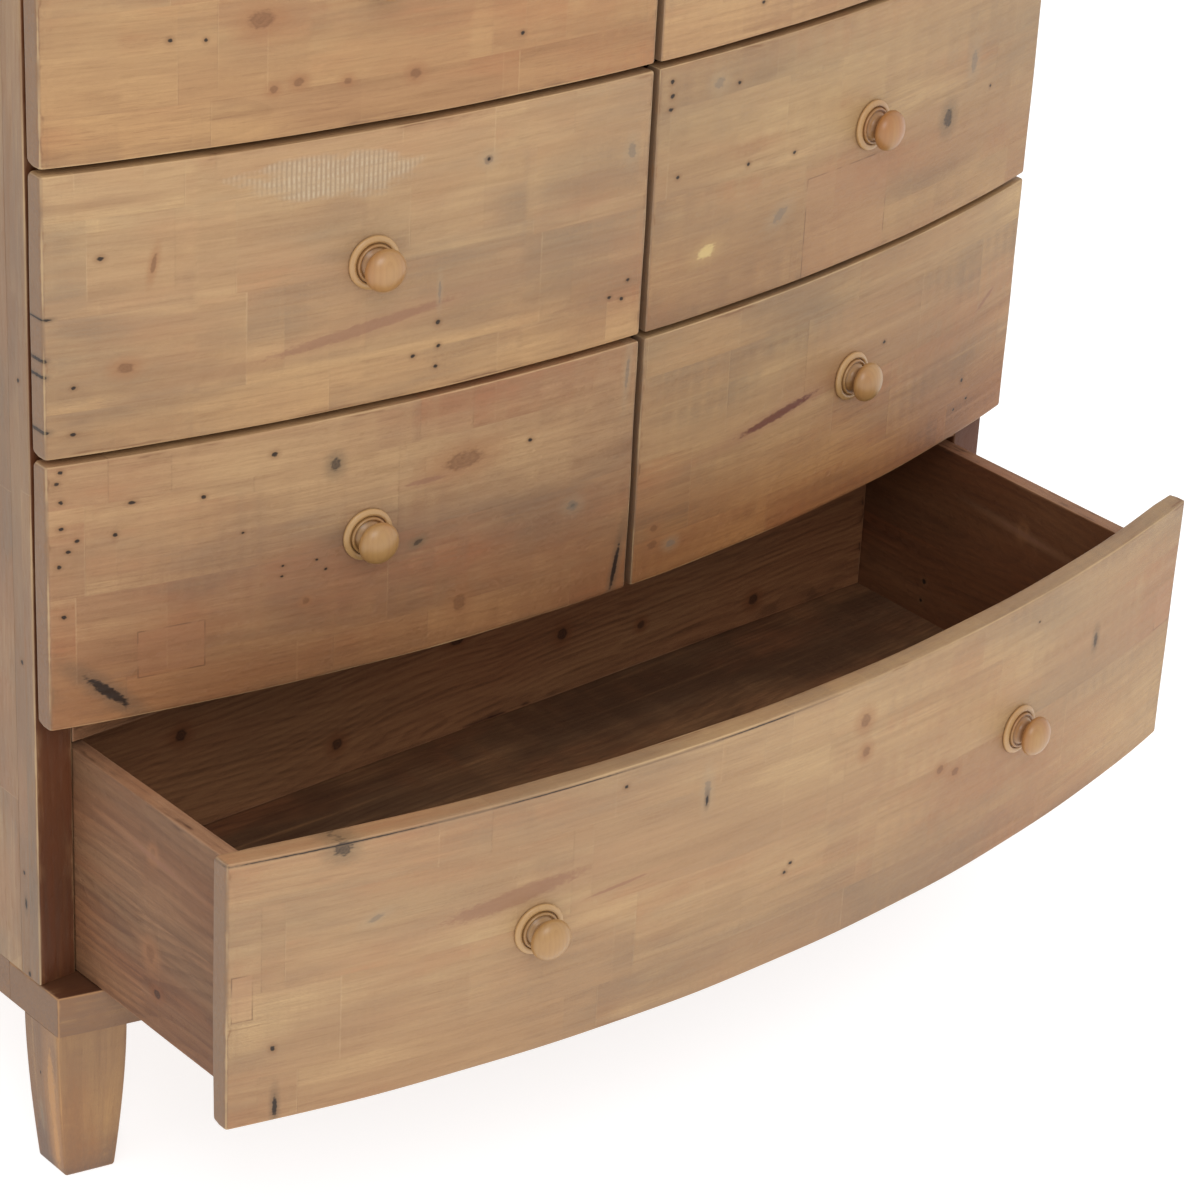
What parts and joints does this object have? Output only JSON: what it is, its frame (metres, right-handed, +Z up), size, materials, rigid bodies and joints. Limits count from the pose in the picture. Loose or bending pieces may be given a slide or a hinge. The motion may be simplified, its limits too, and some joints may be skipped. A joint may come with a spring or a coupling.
{
  "type": "chest of drawers",
  "caption": "Bow-front chest of drawers in reclaimed pine: paired drawers over a wide one, turned knobs, tapered feet; every drawer slides.",
  "frame": {"origin": "on the floor, under the middle of the bounding box with the bottom drawer open as stored", "axes": "+X to the right as seen from the front, +Y to the back, +Z up"},
  "size_m": [1.08, 0.713, 1.1455],
  "materials": {
    "pine_front": "waxed reclaimed pine, honey coloured, with nail holes, knots and worn edges",
    "pine_case": "waxed reclaimed pine, a little darker",
    "pine_base_rail": "waxed reclaimed pine with greyish end grain",
    "pine_box": "dark brown stained pine, coarse grain, dull",
    "pine_knob": "turned pine, satin varnish"
  },
  "bodies": {
    "carcass": {"side_left": "pine_case", "side_right": "pine_case", "base_front_rail": "pine_base_rail", "base_board": "pine_case", "foot_front_left": "pine_case", "foot_front_right": "pine_case", "foot_rear_left": "pine_case", "foot_rear_right": "pine_case", "back_panel": "pine_case", "rail_above_bottom": "pine_case", "rail_top": "pine_case", "centre_partition": "pine_case", "rail_lower_left": "pine_case", "rail_lower_right": "pine_case", "rail_middle_left": "pine_case", "rail_middle_right": "pine_case", "top_board": "pine_case"},
    "drawer_bottom": {"drawer_bottom_front": "pine_front", "drawer_bottom_side_left": "pine_box", "drawer_bottom_side_right": "pine_box", "drawer_bottom_back": "pine_box", "drawer_bottom_bottom": "pine_box", "drawer_bottom_knob_left": "pine_knob", "drawer_bottom_knob_right": "pine_knob"},
    "drawer_lower_left": {"drawer_lower_left_front": "pine_front", "drawer_lower_left_side_left": "pine_box", "drawer_lower_left_side_right": "pine_box", "drawer_lower_left_back": "pine_box", "drawer_lower_left_bottom": "pine_box", "drawer_lower_left_knob": "pine_knob"},
    "drawer_lower_right": {"drawer_lower_right_front": "pine_front", "drawer_lower_right_side_left": "pine_box", "drawer_lower_right_side_right": "pine_box", "drawer_lower_right_back": "pine_box", "drawer_lower_right_bottom": "pine_box", "drawer_lower_right_knob": "pine_knob"},
    "drawer_middle_left": {"drawer_middle_left_front": "pine_front", "drawer_middle_left_side_left": "pine_box", "drawer_middle_left_side_right": "pine_box", "drawer_middle_left_back": "pine_box", "drawer_middle_left_bottom": "pine_box", "drawer_middle_left_knob": "pine_knob"},
    "drawer_middle_right": {"drawer_middle_right_front": "pine_front", "drawer_middle_right_side_left": "pine_box", "drawer_middle_right_side_right": "pine_box", "drawer_middle_right_back": "pine_box", "drawer_middle_right_bottom": "pine_box", "drawer_middle_right_knob": "pine_knob"},
    "drawer_top_left": {"drawer_top_left_front": "pine_front", "drawer_top_left_side_left": "pine_box", "drawer_top_left_side_right": "pine_box", "drawer_top_left_back": "pine_box", "drawer_top_left_bottom": "pine_box", "drawer_top_left_knob": "pine_knob"},
    "drawer_top_right": {"drawer_top_right_front": "pine_front", "drawer_top_right_side_left": "pine_box", "drawer_top_right_side_right": "pine_box", "drawer_top_right_back": "pine_box", "drawer_top_right_bottom": "pine_box", "drawer_top_right_knob": "pine_knob"}
  },
  "joints": [
    {"name": "bottom_drawer_slide", "type": "slide", "parent": "carcass", "child": "drawer_bottom", "axis": [0, -1, 0], "range_m": [-0.231, 0.04]},
    {"name": "lower_left_drawer_slide", "type": "slide", "parent": "carcass", "child": "drawer_lower_left", "axis": [0, -1, 0], "range_m": [0, 0.271]},
    {"name": "lower_right_drawer_slide", "type": "slide", "parent": "carcass", "child": "drawer_lower_right", "axis": [0, -1, 0], "range_m": [0, 0.271]},
    {"name": "middle_left_drawer_slide", "type": "slide", "parent": "carcass", "child": "drawer_middle_left", "axis": [0, -1, 0], "range_m": [0, 0.271]},
    {"name": "middle_right_drawer_slide", "type": "slide", "parent": "carcass", "child": "drawer_middle_right", "axis": [0, -1, 0], "range_m": [0, 0.271]},
    {"name": "top_left_drawer_slide", "type": "slide", "parent": "carcass", "child": "drawer_top_left", "axis": [0, -1, 0], "range_m": [0, 0.271]},
    {"name": "top_right_drawer_slide", "type": "slide", "parent": "carcass", "child": "drawer_top_right", "axis": [0, -1, 0], "range_m": [0, 0.271]}
  ]
}
